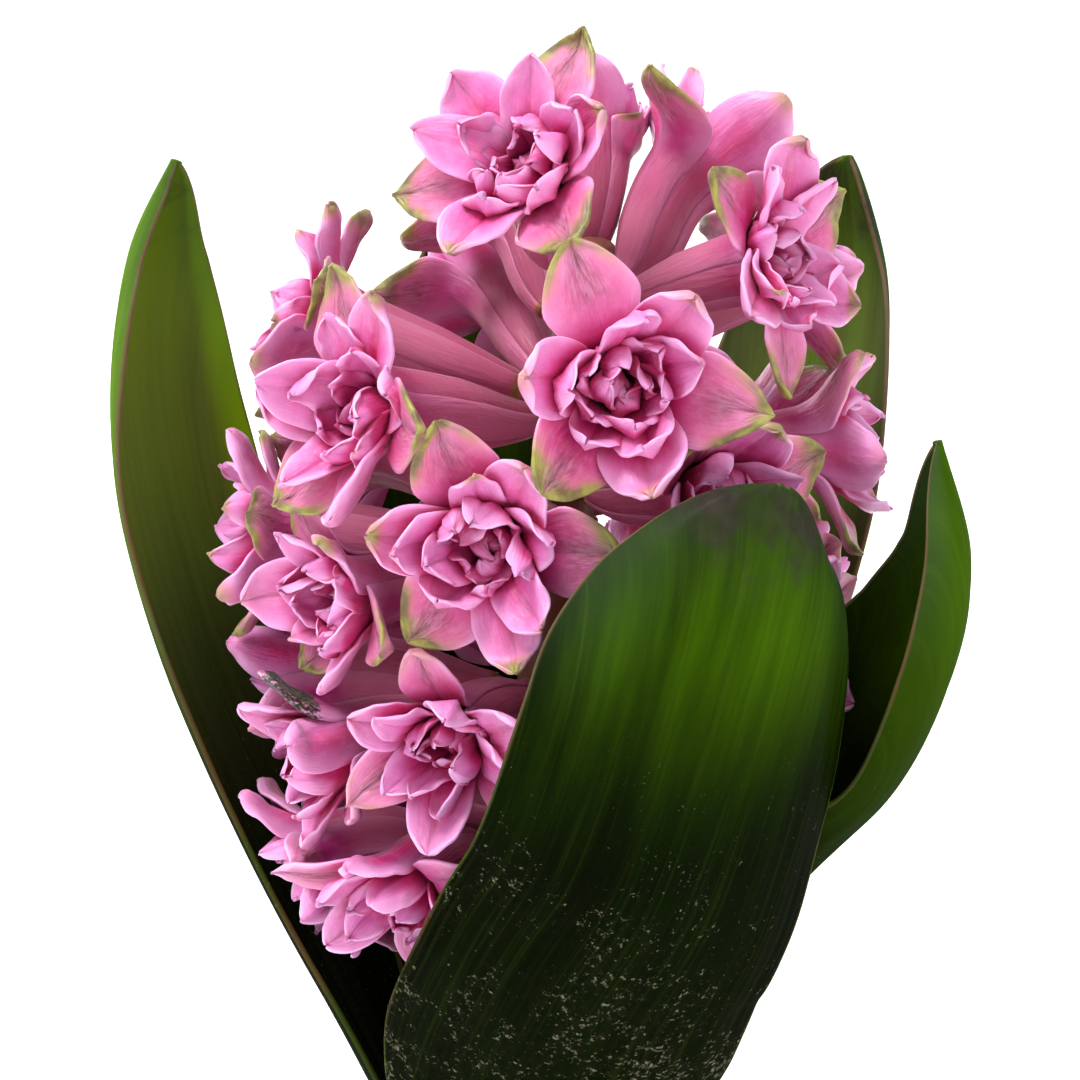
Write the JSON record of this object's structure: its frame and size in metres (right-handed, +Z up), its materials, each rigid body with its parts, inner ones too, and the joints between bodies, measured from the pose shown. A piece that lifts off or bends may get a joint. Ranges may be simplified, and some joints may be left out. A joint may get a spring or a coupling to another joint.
{
  "type": "hyacinth plant in bloom on its bulb",
  "caption": "Double-flowered hyacinth in bloom: a dense upright spike of starry florets among broad strap leaves, standing on its rooted bulb.",
  "frame": {"origin": "middle of the underside of the basal plate, on the surface that the plant stands on", "axes": "+Z up along the flower stalk, -Y towards the side that the picture shows, +X to the right of that view"},
  "size_m": [0.1058, 0.093, 0.2173],
  "materials": {
    "root": "matt, cream, slightly fleshy",
    "bulb_skin": "papery purple skin with a satin sheen",
    "stalk": "smooth, green below and burgundy brown in the bloom",
    "leaf": "satin green with fine lengthwise veins",
    "petal": "soft waxy pink with olive tips"
  },
  "bodies": {
    "root": {"roots": "root", "bulb": "bulb_skin", "flower_stalk": "stalk", "leaf_left": "leaf", "leaf_back_right": "leaf", "leaf_front": "leaf", "leaf_back": "leaf", "leaf_right": "leaf", "floret_01": "petal", "floret_02": "petal", "floret_03": "petal", "floret_04": "petal", "floret_05": "petal", "floret_06": "petal", "floret_07": "petal", "floret_08": "petal", "floret_09": "petal", "floret_10": "petal", "floret_11": "petal", "floret_12": "petal", "floret_13": "petal", "floret_14": "petal", "floret_15": "petal", "floret_16": "petal", "floret_17": "petal", "floret_18": "petal", "floret_19": "petal", "floret_20": "petal", "floret_21": "petal", "floret_22": "petal", "floret_23": "petal", "floret_24": "petal", "floret_25": "petal", "floret_26": "petal", "floret_27": "petal", "floret_28": "petal", "floret_29": "petal", "floret_30": "petal", "floret_31": "petal", "floret_32": "petal", "floret_33": "petal"}
  },
  "joints": []
}
